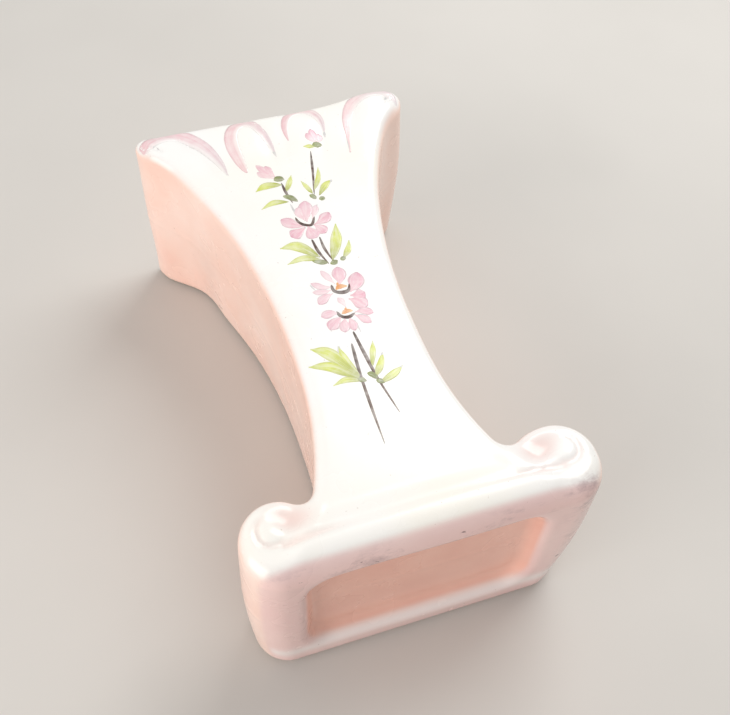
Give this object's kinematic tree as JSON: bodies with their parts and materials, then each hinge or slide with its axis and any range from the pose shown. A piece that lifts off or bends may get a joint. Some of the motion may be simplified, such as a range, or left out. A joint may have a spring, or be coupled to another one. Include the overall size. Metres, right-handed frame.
{
  "type": "wall plate cover",
  "caption": "Hourglass-shaped glazed ceramic cover with scroll foot and painted flowers that pulls straight off a sprung steel wall plate.",
  "frame": {"origin": "middle of the height, on the wall plane, lying on its open back", "axes": "+X across the width, +Y from the foot to the top edge, +Z out of the front face"},
  "size_m": [0.096, 0.15, 0.0596],
  "materials": {
    "ceramic_shell": "gloss",
    "steel": "zinc plated",
    "spring_steel": "polished",
    "rivets": "satin",
    "strip_rubber": "matte",
    "pad_felt": "matte"
  },
  "bodies": {
    "wall_side": {"wall_plate": "steel", "side_spring_left": "spring_steel", "side_spring_right": "spring_steel", "spring_rivets": "rivets"},
    "cover": {"ceramic_shell": "ceramic_shell", "grip_strip_left": "strip_rubber", "grip_strip_right": "strip_rubber", "buffer_pads": "pad_felt"}
  },
  "joints": [
    {"name": "cover_pull", "type": "slide", "parent": "wall_side", "child": "cover", "axis": [0, 0, 1], "range_m": [0, 0.06]}
  ]
}
